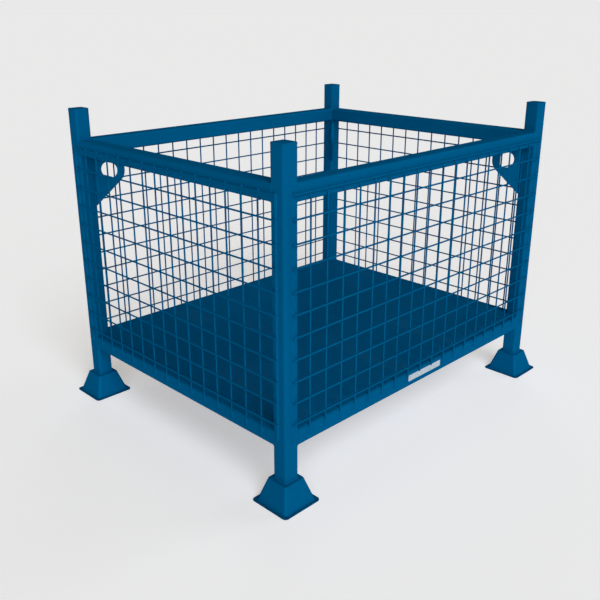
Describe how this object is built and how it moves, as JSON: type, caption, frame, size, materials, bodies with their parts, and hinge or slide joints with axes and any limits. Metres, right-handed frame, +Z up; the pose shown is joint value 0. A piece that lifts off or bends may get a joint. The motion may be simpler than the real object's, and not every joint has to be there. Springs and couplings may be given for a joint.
{
  "type": "wire mesh container",
  "caption": "Stackable steel stillage with wire mesh sides, an open top, stacking stub posts, pyramid feet and corner lifting eyes for a crane.",
  "frame": {"origin": "on the ground, midway between the four feet", "axes": "+Z up, +X along the long side to the right as seen from the front, -Y towards the front"},
  "size_m": [1.606, 1.306, 1.205],
  "materials": {
    "frame": "satin blue paint on steel tube and plate",
    "mesh_wire": "satin blue paint on welded round wire",
    "floor_sheet": "satin blue paint on sheet steel, scuffed by loads"
  },
  "bodies": {
    "root": {"post_front_left": "frame", "post_cap_front_left": "frame", "foot_front_left": "frame", "lifting_eye_front_left": "frame", "post_front_right": "frame", "post_cap_front_right": "frame", "foot_front_right": "frame", "lifting_eye_front_right": "frame", "post_back_left": "frame", "post_cap_back_left": "frame", "foot_back_left": "frame", "lifting_eye_back_left": "frame", "post_back_right": "frame", "post_cap_back_right": "frame", "foot_back_right": "frame", "lifting_eye_back_right": "frame", "base_rail_front": "frame", "base_rail_back": "frame", "base_rail_left": "frame", "base_rail_right": "frame", "top_rail_front": "frame", "top_rail_back": "frame", "top_rail_left": "frame", "top_rail_right": "frame", "floor_plate": "floor_sheet", "floor_bearer_left": "floor_sheet", "floor_bearer_middle": "floor_sheet", "floor_bearer_right": "floor_sheet", "mesh_uprights_front": "mesh_wire", "mesh_crosswires_front": "mesh_wire", "mesh_uprights_back": "mesh_wire", "mesh_crosswires_back": "mesh_wire", "mesh_uprights_left": "mesh_wire", "mesh_crosswires_left": "mesh_wire", "mesh_uprights_right": "mesh_wire", "mesh_crosswires_right": "mesh_wire"}
  },
  "joints": []
}
